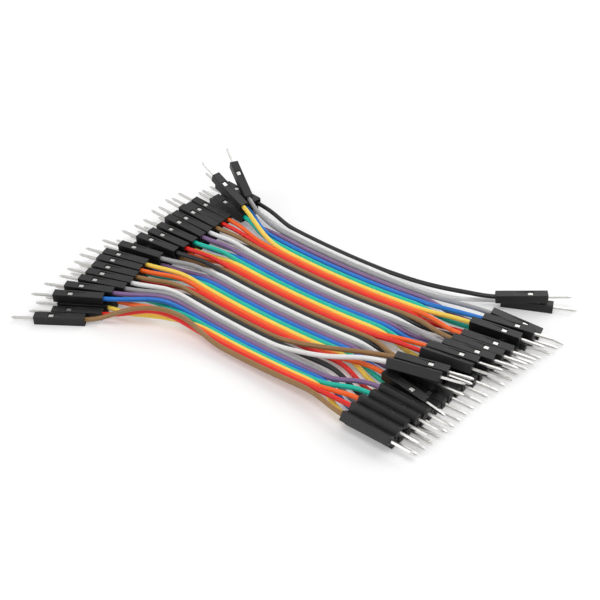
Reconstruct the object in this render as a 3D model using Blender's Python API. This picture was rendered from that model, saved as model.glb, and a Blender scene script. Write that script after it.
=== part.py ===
"""Forty way ribbon of breadboard jumper leads, pin to pin, about 12 cm long.

Forty PVC insulated leads lie side by side and are bonded into one flat rainbow ribbon. At both ends the
leads are split apart, and each one ends in a black one way crimp housing with a square pin. The housings
lie in two layers at each end and fan out a little. A few leads have been pulled loose: the two at the back
and a white and a brown one at the +X end, and a grey, a yellow and the four front ones at the -X end.

Frame: +X runs along the ribbon, +Y points to its back edge (lead 1, black), and +Z is up. The origin is
under the middle of the whole box, at the surface that the lowest housings lie on. Leads are numbered from
1 at the back to 40 at the front, and their ends are called left (-X) and right (+X).

Thirty six leads are one closed solid each: lead, housings and pins fused where they really hold each
other. Four loose leads are taken apart into the lead, two hollow housings and two crimp contacts each.
All tables below are in millimetres.
"""

import math

import bmesh
import bpy
from mathutils import Matrix, Vector

# Units
MM = 0.001

# Driving dimensions, mm
LEAD_COUNT = 40
PITCH = 1.35
LEAD_DIAMETER = 1.30
HOUSING_LENGTH = 14.0
HOUSING_WIDTH = 2.54
PIN_OUT = 6.4
PIN_WIDTH = 0.64
PIN_TIP = 0.30
PIN_TAPER = 0.9
LAYER_GAP = 0.05
LOWER_LAYER_Z = HOUSING_WIDTH / 2
UPPER_LAYER_Z = HOUSING_WIDTH * 1.5 + LAYER_GAP

# The tables of places are for these two sizes, and grow with them
SEAT_SCALE = HOUSING_WIDTH / 2.54
RIBBON_SCALE = PITCH / 1.35

# Hollow of a housing, mm from its rear face along its axis
CAVITY_WIDTH = 1.84
CAVITY_END = 12.2
MOUTH_WIDTH = 0.90
WINDOW_START = 8.6
WINDOW_END = 10.1
WINDOW_WIDTH = 1.5
WINDOW_DEPTH = 0.45
TONGUE_START = 5.1
WALL = (HOUSING_WIDTH - CAVITY_WIDTH) / 2

# Crimp contact, mm from the housing's rear face
INSULATION_GRIP = (1.2, 3.4)
INSULATION_GRIP_RADII = (0.74, 0.88)
CONDUCTOR_GRIP = (4.0, 6.8)
CONDUCTOR_GRIP_RADII = (0.33, 0.62)
CONDUCTOR_BORE_END = 6.4
NECK = (3.2, 4.2)
NECK_WIDTH = 0.60
NECK_HEIGHT = 0.30
NECK_BOTTOM = -0.80
BODY = (6.6, 11.2)
BODY_WIDTH = 1.30
LANCE = (8.9, 9.9)
LANCE_WIDTH = 0.9
LANCE_TOP = 0.95
INSULATION_END = 3.3
CONDUCTOR_END = 6.1
CONDUCTOR_RADIUS = 0.25
FUSED_ENTRY = 0.5
FUSE_DEPTH = 1.0
CUT_EXTRA = 0.5

# Where the box of the whole object has its middle, mm
BOX_MIDDLE = (4.40, -2.056)

# Looks
COLOUR_ORDER = ("black", "white", "grey", "purple", "blue", "green", "yellow", "orange", "red", "brown")
LEAD_COLOURS = {
    "black": (0.012, 0.012, 0.013),
    "white": (0.84, 0.84, 0.82),
    "grey": (0.32, 0.32, 0.34),
    "purple": (0.19, 0.10, 0.26),
    "blue": (0.015, 0.16, 0.62),
    "green": (0.01, 0.42, 0.28),
    "yellow": (0.95, 0.62, 0.10),
    "orange": (0.95, 0.14, 0.02),
    "red": (0.78, 0.03, 0.025),
    "brown": (0.26, 0.15, 0.07),
}
HOUSING_COLOUR = (0.02, 0.02, 0.021)
CONTACT_COLOUR = (0.78, 0.76, 0.72)
SEPARATE_LEADS = (1, 2, 32, 40)

# Height of the bonded stretch: it sags between the housings that hold its ends up
SAG_LOW = 1.1
SAG_RISE = 1.683
SAG_SPAN = 30.0

# Places of the housings. Each pair is (lead, value); values between the leads named are interpolated.
# A fan angle is measured from the X axis, positive towards the back. Rear is the X of a housing's rear face.
LEFT_FAN = (
    (1, 6), (5, 11), (6, 9), (8, 0), (10, -1), (14, -1), (19, -2), (21, -5), (23, -11), (27, -14),
    (30, -16), (32, -18), (33, -20), (34, -25), (35, -31), (36, -26), (37, -32), (40, -34),
)
LEFT_LOWER_FAN = ((2, 5), (4, 6), (11, 0), (20, -2), (24, -10), (26, -13), (31, -18), (36, -26), (37, -32), (40, -34))
RIGHT_FAN = (
    (3, 11), (5, 11), (7, 8), (8, 8), (10, 8.5), (13, 9), (18, 10), (19, 9), (20, 9), (23, 5), (28, -10),
    (34, -3), (36, -1.5), (38, -1), (40, -1),
)
RIGHT_LOWER_FAN = ((4, 10), (20, 3), (26, 0), (37, 0))
LEFT_REAR = (
    (1, -35.0), (5, -36.0), (6, -33.0), (8, -36.0), (19, -36.1), (21, -37.1), (23, -38.6), (27, -39.7),
    (30, -37.8), (33, -36.6), (34, -37.9), (35, -38.2), (36, -37.4), (38, -37.0), (39, -36.2), (40, -38.2),
)
RIGHT_REAR = (
    (3, 48.5), (5, 48.0), (7, 46.2), (8, 47.0), (10, 46.0), (13, 45.0), (18, 42.4), (19, 42.5), (20, 38.9),
    (28, 39.7), (34, 42.2), (36, 41.6), (38, 40.5),
)
RIGHT_LOWER_REAR = ((4, 48.0), (20, 43.0), (37, 40.0))

# The Y of each housing's rear face, by layer, mm
LEFT_UPPER = (
    (1, 30.3), (5, 26.3), (6, 22.2), (8, 18.2), (9, 15.5), (10, 12.8), (12, 9.8), (14, 6.8), (16, 3.4), (19, -0.1),
    (21, -3.3), (23, -8.0), (27, -12.7), (28, -15.6), (30, -18.5), (32, -21.3), (33, -24.2), (34, -27.6), (35, -31.0),
)
LEFT_LOWER = (
    (2, 29.5), (4, 24.5), (11, 12.6), (13, 9.2), (15, 6.2), (17, 3.3), (18, 0.6), (20, -2.1), (22, -4.9), (24, -7.8),
    (25, -10.6), (26, -13.4), (29, -16.4), (31, -20.0), (36, -24.3), (38, -27.2), (37, -30.6), (39, -33.7), (40, -38.3),
)
RIGHT_UPPER = (
    (3, 27.35), (5, 24.0), (7, 20.7), (8, 15.0), (10, 12.05), (13, 9.17), (18, 5.8), (19, 2.75), (20, -2.7),
    (23, -6.0), (28, -9.4), (34, -14.5), (36, -17.8), (38, -21.0), (39, -24.3), (40, -27.9),
)
RIGHT_LOWER = (
    (4, 24.6), (6, 21.88), (9, 19.16), (11, 16.47), (12, 13.8), (14, 11.15), (15, 8.5), (16, 5.85), (17, 3.2), (21, 0.55),
    (22, -2.05), (24, -4.65), (25, -7.25), (26, -9.85), (27, -12.45), (29, -15.05), (31, -17.65), (33, -20.25),
    (35, -22.85), (37, -25.45),
)

# Housings that lean: pitch lifts the pin end, roll turns a housing about its own length, lift is its Z in mm
LEFT_PITCH = {5: 8, 8: 4, 9: 3, 10: 6, 12: 3, 14: 4}
RIGHT_PITCH = {3: -9}
RIGHT_ROLL = {19: -28, 34: -30, 36: -30, 38: -30, 39: -34, 40: -36}
RIGHT_LIFT = {19: 4.33, 34: 4.35, 36: 4.35, 38: 4.35, 39: 4.38, 40: 4.2}

# Housings that lie loose on the others or apart from them: rear x, y, z in mm, then fan, pitch, roll in degrees
LOOSE_SEATS = {
    ("left", 3): (-35.7, 27.1, 6.9, 30, 19, 0),
    ("left", 7): (-34.2, 23.0, 6.7, 10, 19, 0),
    ("right", 1): (45.8, 33.9, 3.9, 35, 2, 0),
    ("right", 2): (46.3, 36.5, 1.27, 25, 0, 0),
    ("right", 30): (40.0, -5.3, 6.5, 14, 0, 0),
    ("right", 32): (39.8, -8.6, 7.15, 12, 2, -36),
}

# Where each lead leaves the bonded stretch, X in mm
LEFT_SPLIT = (
    (1, -22), (5, -25), (8, -27), (16, -27), (28, -27), (30, -26), (32, -24.5), (33, -23), (34, -21.8), (35, -21.5), (36, -17),
)
RIGHT_SPLIT = (
    (3, 33.5), (8, 33.2), (9, 31.6), (10, 32.4), (11, 30.9), (20, 29.5), (21, 28.5),
    (27, 28.8), (28, 28.0), (29, 28.5), (33, 27.7), (34, 30.3), (40, 29.5),
)
BRANCH_STEPS = 4
LIFT_HASTE = 2.8
ROUTE_STEPS = 2
BONDED_STEP = 28.0
REAR_RUN = 1.2
LOOSE_REAR_RUN = 2.2

# Routes of the loose leads from the bonded stretch to their housings, mm
LOOSE_ROUTES = {
    ("left", 3): ((-22, 24.6, 2.3), (-26, 24.6, 3.2), (-30, 25.1, 4.8)),
    ("left", 7): ((-19, 18.25, 2.1), (-23, 18.7, 3.7), (-27, 20.0, 5.4), (-30.5, 21.4, 6.2)),
    ("left", 37): ((-13, -22.3, 1.95), (-18, -24.0, 2.1), (-22.5, -26.3, 2.5), (-28, -29.2, 2.3), (-32.5, -30.6, 1.6)),
    ("left", 38): ((-13, -23.5, 2.6), (-18, -24.3, 3.6), (-24, -25.0, 3.8), (-30, -26.2, 2.4), (-34, -27.0, 1.5)),
    ("left", 39): ((-9, -24.9, 2.95), (-15, -25.4, 4.2), (-20.5, -26.6, 5.2), (-26, -29.2, 4.6), (-31, -32.2, 2.6)),
    ("left", 40): (
        (-4, -26.2, 3.3), (-10, -25.4, 5.2), (-14.5, -26.0, 6.9), (-19.0, -27.8, 7.8), (-25.5, -31.0, 7.0),
        (-30.5, -34.0, 4.6), (-34, -35.9, 2.4),
    ),
    ("right", 1): ((14, 28.3, 1.6), (24, 28.8, 2.2), (34, 30.2, 3.2), (40, 31.8, 3.8)),
    ("right", 2): ((14, 26.8, 1.4), (24, 27.2, 1.2), (33, 28.8, 1.1), (40, 32.4, 1.15)),
    ("right", 30): ((10, -12.8, 1.8), (16, -12.3, 3.2), (23.2, -10.9, 4.7), (31.5, -8.2, 5.9)),
    ("right", 32): ((10, -15.5, 1.45), (16, -15.3, 2.9), (23.1, -14.6, 4.6), (28.4, -13.3, 6.0), (33.6, -10.6, 6.9)),
}

# The back leads have come slightly apart and the front edge of the ribbon curls up
BACK_SPREAD = ((1, 1.9), (2, 1.6), (3, 1.2), (4, 0.7), (5, 0.3), (6, 0.0))
FRONT_TUCK = ((35, 0.0), (36, 0.02), (37, 0.13), (38, 0.24), (39, 0.29), (40, 0.34))
FRONT_CURL = ((35, 0.0), (36, 0.25), (37, 0.7), (38, 1.2), (39, 1.55), (40, 1.8))


def between(pairs, lead):
    """Value for a lead, interpolated in a table of (lead, value) pairs."""
    if lead <= pairs[0][0]:
        return pairs[0][1]
    for (low, first), (high, last) in zip(pairs, pairs[1:]):
        if lead <= high:
            return first + (last - first) * (lead - low) / (high - low)
    return pairs[-1][1]


def all_seats():
    """Seat of every housing: rear x, y, z in mm, then fan, pitch and roll in degrees."""
    rows = (
        ("left", LEFT_UPPER, UPPER_LAYER_Z, LEFT_FAN, LEFT_REAR),
        ("left", LEFT_LOWER, LOWER_LAYER_Z, LEFT_LOWER_FAN, LEFT_REAR),
        ("right", RIGHT_UPPER, UPPER_LAYER_Z, RIGHT_FAN, RIGHT_REAR),
        ("right", RIGHT_LOWER, LOWER_LAYER_Z, RIGHT_LOWER_FAN, RIGHT_LOWER_REAR),
    )
    seats = {}
    for side, row, height, fans, rears in rows:
        for lead, y in row:
            pitch = (LEFT_PITCH if side == "left" else RIGHT_PITCH).get(lead, 0)
            roll = RIGHT_ROLL.get(lead, 0) if side == "right" else 0
            z = height
            if side == "right" and lead in RIGHT_LIFT:
                z = RIGHT_LIFT[lead] * SEAT_SCALE
            rear = (between(rears, lead) * SEAT_SCALE, y * SEAT_SCALE, z)
            seats[(side, lead)] = (*rear, between(fans, lead), pitch, roll)
    for place, (x, y, z, *angles) in LOOSE_SEATS.items():
        seats[place] = (x * SEAT_SCALE, y * SEAT_SCALE, z * SEAT_SCALE, *angles)
    return seats


def pin_direction(side, seat):
    """Unit vector from a housing's rear face to its pin."""
    fan, pitch = math.radians(seat[3]), math.radians(seat[4])
    outward = -1 if side == "left" else 1
    return Vector((outward * math.cos(fan) * math.cos(pitch), math.sin(fan) * math.cos(pitch), math.sin(pitch)))


def seat_matrix(side, seat):
    """Placement of a housing whose own +X points to its pin and whose +Z face has the latch window."""
    along = pin_direction(side, seat)
    across = Vector((0, 0, 1)).cross(along).normalized()
    above = along.cross(across)
    roll = math.radians(seat[5])
    turned_across = math.cos(roll) * across + math.sin(roll) * above
    turned_above = math.cos(roll) * above - math.sin(roll) * across
    axes = Matrix((along, turned_across, turned_above)).transposed().to_4x4()
    return Matrix.Translation(in_frame(seat[:3])) @ axes


def in_frame(point):
    """Point in metres, in the part's own frame, from a point of the tables in mm."""
    x, y, z = point
    return Vector((x - BOX_MIDDLE[0] * SEAT_SCALE, y - BOX_MIDDLE[1] * SEAT_SCALE, z)) * MM


def bonded_point(lead, x):
    """Centre of a lead in the bonded stretch, mm."""
    step = (LEAD_COUNT + 1) / 2 - lead
    y = step * PITCH + (between(BACK_SPREAD, lead) + between(FRONT_TUCK, lead)) * RIBBON_SCALE
    sag = SAG_LOW + SAG_RISE * (x / SAG_SPAN)**2
    return (x, y, sag + between(FRONT_CURL, lead) * RIBBON_SCALE)


def hermite(start, start_slope, end, end_slope, t):
    """Cubic between two values with given slopes."""
    rise = 3 * t**2 - 2 * t**3
    return start * (1 - rise) + end * rise + start_slope * (t**3 - 2 * t**2 + t) + end_slope * (t**3 - t**2)


def smooth(points, steps):
    """Catmull-Rom curve through points, each span cut into steps."""
    ends = [tuple(2 * a - b for a, b in zip(points[0], points[1]))] + list(points)
    ends.append(tuple(2 * a - b for a, b in zip(points[-1], points[-2])))
    curve = []
    for before, start, end, after in zip(ends, ends[1:], ends[2:], ends[3:]):
        for step in range(steps):
            curve.append(tuple(
                hermite(s, (e - b) / 2, e, (a - s) / 2, step / steps)
                for b, s, e, a in zip(before, start, end, after)
            ))
    curve.append(points[-1])
    return curve


def loose_route(points):
    """Hand chosen route, sized with the ribbon where it starts and with the housings where it ends."""
    sized = []
    for index, (x, y, z) in enumerate(points):
        share = index / (len(points) - 1)
        scale = RIBBON_SCALE + (SEAT_SCALE - RIBBON_SCALE) * share
        sized.append((x * SEAT_SCALE, y * scale, z * scale))
    return sized


def branch(side, lead, seat, entry):
    """Points of a lead, mm, from the end of its bonded stretch to where it ends inside its housing."""
    along = pin_direction(side, seat)
    rear = Vector(seat[:3])
    inside = tuple(rear + entry * along)
    if (side, lead) in LOOSE_ROUTES:
        route = loose_route(LOOSE_ROUTES[(side, lead)])
        return smooth(route + [tuple(rear - LOOSE_REAR_RUN * along)], ROUTE_STEPS) + [inside]
    split = between(LEFT_SPLIT if side == "left" else RIGHT_SPLIT, lead) * SEAT_SCALE
    start = bonded_point(lead, split)
    end = rear - REAR_RUN * along
    end_slope = abs(end.x - split) * along.y / abs(along.x)
    points = [start]
    for step in range(1, BRANCH_STEPS):
        t = step / BRANCH_STEPS
        climb = min(1.0, t * LIFT_HASTE)
        points.append((
            split + (end.x - split) * t,
            hermite(start[1], 0.0, end.y, end_slope, t),
            hermite(start[2], 0.0, end.z, 0.0, climb),
        ))
    return points + [tuple(end), inside]


def lead_route(lead, seats, entry):
    """Centre line of a lead from inside its left housing to inside its right one, mm."""
    left = branch("left", lead, seats[("left", lead)], entry)
    right = branch("right", lead, seats[("right", lead)], entry)
    first, last = left[0][0], right[0][0]
    spans = max(2, round((last - first) / BONDED_STEP))
    middle = [bonded_point(lead, first + (last - first) * span / spans) for span in range(1, spans)]
    return left[::-1] + middle + right


def principled(name, colour, roughness, metallic=0.0):
    """Principled material."""
    material = bpy.data.materials.new(name)
    material.use_nodes = True
    shader = material.node_tree.nodes["Principled BSDF"]
    shader.inputs["Base Color"].default_value = (*colour, 1.0)
    shader.inputs["Roughness"].default_value = roughness
    shader.inputs["Metallic"].default_value = metallic
    return material


def linked(name, mesh, collection):
    """New object for a mesh or curve in a collection."""
    item = bpy.data.objects.new(name, mesh)
    collection.objects.link(item)
    return item


def box(start, end, width, height, below=None):
    """Box mesh along +X from start to end, mm, centred on the X axis or with its underside at below."""
    form = bmesh.new()
    bmesh.ops.create_cube(form, size=1.0)
    bottom = -height / 2 if below is None else below
    bmesh.ops.scale(form, vec=Vector((end - start, width, height)) * MM, verts=form.verts)
    bmesh.ops.translate(form, vec=Vector(((start + end) / 2, 0, bottom + height / 2)) * MM, verts=form.verts)
    mesh = bpy.data.meshes.new("box")
    form.to_mesh(mesh)
    form.free()
    return mesh


def barrel(span, radius, sides):
    """Cylinder mesh along +X, mm."""
    start, end = span
    form = bmesh.new()
    bmesh.ops.create_cone(
        form, cap_ends=True, segments=sides, radius1=radius * MM, radius2=radius * MM, depth=(end - start) * MM,
        matrix=Matrix.Translation(((start + end) / 2 * MM, 0, 0)) @ Matrix.Rotation(math.pi / 2, 4, "Y"),
    )
    mesh = bpy.data.meshes.new("barrel")
    form.to_mesh(mesh)
    form.free()
    return mesh


def combined(base, others, operation):
    """Mesh of base joined with or cut by the other meshes, one at a time; the inputs are removed."""
    scene = bpy.context.scene.collection
    body = linked("body", base, scene)
    for other in others:
        tool = linked("tool", other, scene)
        step = body.modifiers.new("step", "BOOLEAN")
        step.operation = operation
        step.solver = "EXACT"
        step.object = tool
        bpy.context.view_layer.update()
        result = bpy.data.meshes.new_from_object(body.evaluated_get(bpy.context.evaluated_depsgraph_get()))
        old = body.data
        body.modifiers.clear()
        body.data = result
        bpy.data.objects.remove(tool)
        bpy.data.meshes.remove(old)
    mesh = body.data
    bpy.data.objects.remove(body)
    return mesh


def pin_mesh(start):
    """Square pin from start to its tip, mm, with a tapered end."""
    end = HOUSING_LENGTH + PIN_OUT
    mesh = box(start, end, PIN_WIDTH, PIN_WIDTH)
    form = bmesh.new()
    form.from_mesh(mesh)
    every = form.verts[:] + form.edges[:] + form.faces[:]
    bmesh.ops.bisect_plane(form, geom=every, plane_co=((end - PIN_TAPER) * MM, 0, 0), plane_no=(1, 0, 0))
    tip = [vertex for vertex in form.verts if vertex.co.x > (end - PIN_TAPER / 2) * MM]
    bmesh.ops.scale(form, vec=(1, PIN_TIP / PIN_WIDTH, PIN_TIP / PIN_WIDTH), verts=tip)
    form.to_mesh(mesh)
    form.free()
    return mesh


def latch_cutter(depth):
    """Block for the latch window, with the wedge that sinks the tongue in front of it towards the window."""
    top = HOUSING_WIDTH / 2 * MM
    mesh = box(TONGUE_START, WINDOW_END, WINDOW_WIDTH, depth + CUT_EXTRA, HOUSING_WIDTH / 2 - depth)
    form = bmesh.new()
    form.from_mesh(mesh)
    every = form.verts[:] + form.edges[:] + form.faces[:]
    bmesh.ops.bisect_plane(form, geom=every, plane_co=(WINDOW_START * MM, 0, 0), plane_no=(1, 0, 0))
    for vertex in form.verts:
        if vertex.co.z < top and vertex.co.x < WINDOW_START * MM - MM / 2:
            vertex.co.z = top
    form.to_mesh(mesh)
    form.free()
    return mesh


def solid_end():
    """Filled housing with its latch marks and its pin, one closed body."""
    housing = box(0.0, HOUSING_LENGTH, HOUSING_WIDTH, HOUSING_WIDTH)
    housing = combined(housing, [latch_cutter(WINDOW_DEPTH)], "DIFFERENCE")
    return combined(housing, [pin_mesh(HOUSING_LENGTH - FUSE_DEPTH)], "UNION")


def hollow_housing():
    """Housing with its real cavity, pin mouth and latch window."""
    housing = box(0.0, HOUSING_LENGTH, HOUSING_WIDTH, HOUSING_WIDTH)
    cavity = box(-CUT_EXTRA, CAVITY_END, CAVITY_WIDTH, CAVITY_WIDTH)
    mouth = box(CAVITY_END - CUT_EXTRA, HOUSING_LENGTH + CUT_EXTRA, MOUTH_WIDTH, MOUTH_WIDTH)
    opening = box(
        WINDOW_START, WINDOW_END, WINDOW_WIDTH, HOUSING_WIDTH / 2, CAVITY_WIDTH / 2 - CUT_EXTRA / 2,
    )
    return combined(housing, [cavity, mouth, latch_cutter(WALL / 2), opening], "DIFFERENCE")


def contact():
    """Crimp contact: insulation grip, conductor grip, locking body with its lance, and pin."""
    grip_inner, grip_outer = INSULATION_GRIP_RADII
    core_inner, core_outer = CONDUCTOR_GRIP_RADII
    grip = combined(
        barrel(INSULATION_GRIP, grip_outer, 8),
        [barrel((INSULATION_GRIP[0] - CUT_EXTRA, INSULATION_GRIP[1] + CUT_EXTRA), grip_inner, 8)], "DIFFERENCE",
    )
    core = combined(
        barrel(CONDUCTOR_GRIP, core_outer, 8),
        [barrel((CONDUCTOR_GRIP[0] - CUT_EXTRA, CONDUCTOR_BORE_END), core_inner, 6)], "DIFFERENCE",
    )
    neck = box(NECK[0], NECK[1], NECK_WIDTH, NECK_HEIGHT, NECK_BOTTOM)
    body = box(BODY[0], BODY[1], BODY_WIDTH, BODY_WIDTH)
    lance = box(LANCE[0], LANCE[1], LANCE_WIDTH, LANCE_TOP, 0.0)
    return combined(grip, [neck, core, body, lance, pin_mesh(BODY[1] - FUSE_DEPTH)], "UNION")


def tube_mesh(points, radius):
    """Closed eight sided tube through points in metres, made from a curve with a bevel."""
    curve = bpy.data.curves.new("tube", "CURVE")
    curve.dimensions = "3D"
    curve.bevel_depth = radius * MM
    curve.bevel_resolution = 2
    curve.use_fill_caps = True
    spline = curve.splines.new("POLY")
    spline.points.add(len(points) - 1)
    for control, place in zip(spline.points, points):
        control.co = (*place, 1.0)
    item = linked("tube", curve, bpy.context.scene.collection)
    bpy.context.view_layer.update()
    mesh = bpy.data.meshes.new_from_object(item.evaluated_get(bpy.context.evaluated_depsgraph_get()))
    bpy.data.objects.remove(item)
    bpy.data.curves.remove(curve)
    form = bmesh.new()
    form.from_mesh(mesh)
    bmesh.ops.remove_doubles(form, verts=form.verts, dist=1e-6)
    form.to_mesh(mesh)
    form.free()
    return mesh


def moved_copy(mesh, matrix):
    """Copy of a mesh with a placement applied."""
    copy = mesh.copy()
    copy.transform(matrix)
    return copy


def finished(name, mesh, material, collection):
    """Object with one material."""
    mesh.materials.clear()
    mesh.materials.append(material)
    item = linked(name, mesh, collection)
    mesh.name = name
    return item


def build_fused_lead(lead, seats, end, materials, collection):
    """Lead, two housings and two pins as one closed solid."""
    colour = COLOUR_ORDER[(lead - 1) % len(COLOUR_ORDER)]
    route = [in_frame(point) for point in lead_route(lead, seats, FUSED_ENTRY)]
    ends = [moved_copy(end, seat_matrix(side, seats[(side, lead)])) for side in ("left", "right")]
    solid = combined(tube_mesh(route, LEAD_DIAMETER / 2), ends, "UNION")
    finished(f"jumper_{lead:02d}_{colour}", solid, materials[colour], collection)


def build_separate_lead(lead, seats, housing, crimp, materials, collection):
    """Lead with bare conductor ends, two hollow housings and two contacts, each its own solid."""
    colour = COLOUR_ORDER[(lead - 1) % len(COLOUR_ORDER)]
    route = [in_frame(point) for point in lead_route(lead, seats, INSULATION_END)]
    strands = []
    for side in ("left", "right"):
        place = seat_matrix(side, seats[(side, lead)])
        strands.append(moved_copy(barrel((INSULATION_END - FUSE_DEPTH, CONDUCTOR_END), CONDUCTOR_RADIUS, 6), place))
        finished(f"housing_{lead:02d}_{side}", moved_copy(housing, place), materials["housing"], collection)
        finished(f"contact_{lead:02d}_{side}", moved_copy(crimp, place), materials["contact"], collection)
    insulated = combined(tube_mesh(route, LEAD_DIAMETER / 2), strands, "UNION")
    finished(f"lead_{lead:02d}_{colour}", insulated, materials[colour], collection)


def main():
    for item in list(bpy.data.objects):
        bpy.data.objects.remove(item)
    collection = bpy.data.collections.new("breadboard_jumper_ribbon")
    bpy.context.scene.collection.children.link(collection)
    materials = {name: principled(f"{name}_insulation", colour, 0.35) for name, colour in LEAD_COLOURS.items()}
    materials["housing"] = principled("housing_plastic", HOUSING_COLOUR, 0.45)
    materials["contact"] = principled("contact_metal", CONTACT_COLOUR, 0.25, 1.0)
    seats = all_seats()
    end = solid_end()
    housing = hollow_housing()
    crimp = contact()
    for lead in range(1, LEAD_COUNT + 1):
        if lead in SEPARATE_LEADS:
            build_separate_lead(lead, seats, housing, crimp, materials, collection)
        else:
            build_fused_lead(lead, seats, end, materials, collection)
    for pattern in (end, housing, crimp):
        bpy.data.meshes.remove(pattern)


main()
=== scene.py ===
"""Forty way ribbon of breadboard jumper leads, dressed for its picture.

Each lead is a PVC insulated wire bonded to its neighbours over the middle of its length. Both of its ends
carry a black crimp housing, and in each housing sits a tinned contact with a square pin. Places come from
the tables of the part's solids, in millimetres here and turned to metres once, in the part's own frame.
Where the leads part from each other, they bend a little more gently than the solids do.
"""

from __future__ import annotations

import logging
import math
from dataclasses import dataclass, field
from enum import Enum

import bpy
import numpy as np
from mathutils import Matrix, Vector


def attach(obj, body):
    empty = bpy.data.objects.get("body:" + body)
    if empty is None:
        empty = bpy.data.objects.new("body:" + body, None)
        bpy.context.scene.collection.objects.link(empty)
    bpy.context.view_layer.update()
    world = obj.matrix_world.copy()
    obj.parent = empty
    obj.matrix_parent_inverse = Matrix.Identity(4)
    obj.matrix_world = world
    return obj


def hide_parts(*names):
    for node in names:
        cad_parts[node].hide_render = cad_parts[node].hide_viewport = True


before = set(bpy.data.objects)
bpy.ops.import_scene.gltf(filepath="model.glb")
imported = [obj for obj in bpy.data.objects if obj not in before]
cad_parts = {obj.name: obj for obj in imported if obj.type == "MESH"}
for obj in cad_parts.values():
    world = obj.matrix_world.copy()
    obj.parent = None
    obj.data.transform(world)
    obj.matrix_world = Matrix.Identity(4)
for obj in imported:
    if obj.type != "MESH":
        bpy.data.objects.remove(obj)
LOG = logging.getLogger("jumper_ribbon")
MM = 0.001
SAME_PLACE = 1e-9
SHARP_EDGE = math.radians(50)
QUARTER_TURN = np.array([[0, 1], [-1, 0]])
MIX_FIRST, MIX_SECOND, MIX_RESULT = 6, 7, 2


class Side(Enum):
    """End of the ribbon."""

    LEFT = "left"
    RIGHT = "right"

    @property
    def outward(self) -> float:
        """Sign of X that leads away from the ribbon at this end."""
        return -1.0 if self is Side.LEFT else 1.0


class Insulation(Enum):
    """Colour of a lead, in the order in which the colours repeat from the back."""

    BLACK = "black"
    WHITE = "white"
    GREY = "grey"
    PURPLE = "purple"
    BLUE = "blue"
    GREEN = "green"
    YELLOW = "yellow"
    ORANGE = "orange"
    RED = "red"
    BROWN = "brown"

    @classmethod
    def of_lead(cls, lead: int) -> Insulation:
        """Colour of a lead by its number, 1 at the back."""
        return list(cls)[(lead - 1) % len(cls)]


Span = tuple[float, float]
Point = tuple[float, float, float]
Pairs = tuple[Span, ...]
Spread = float | np.ndarray
Station = tuple[float, float, float, float]


def between(pairs: Pairs, lead: float) -> float:
    """Value for a lead, straight between the (lead, value) pairs on both sides of it."""
    where, values = np.array(pairs, float).T
    return float(np.interp(lead, where, values))


def cubic(start: Spread, start_slope: Spread, end: Spread, end_slope: Spread, t: np.ndarray) -> np.ndarray:
    """Cubic that starts and ends with the given values and slopes, for t from 0 to 1."""
    # Three t squared less two t cubed blends start into end. The factor of each slope is 0 at both ends.
    rise = 3 * t**2 - 2 * t**3
    return start * (1 - rise) + end * rise + start_slope * (t**3 - 2 * t**2 + t) + end_slope * (t**3 - t**2)


@dataclass(frozen=True)
class Seat:
    """Place of one housing: its rear face's middle in metres, and its own axes."""

    rear: np.ndarray
    along: np.ndarray
    across: np.ndarray
    above: np.ndarray

    def place(self, points: np.ndarray) -> np.ndarray:
        """Points of the housing's own frame, in mm, turned and moved to this seat, in metres."""
        axes = np.stack([self.along, self.across, self.above])
        return self.rear + points * MM @ axes


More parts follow.
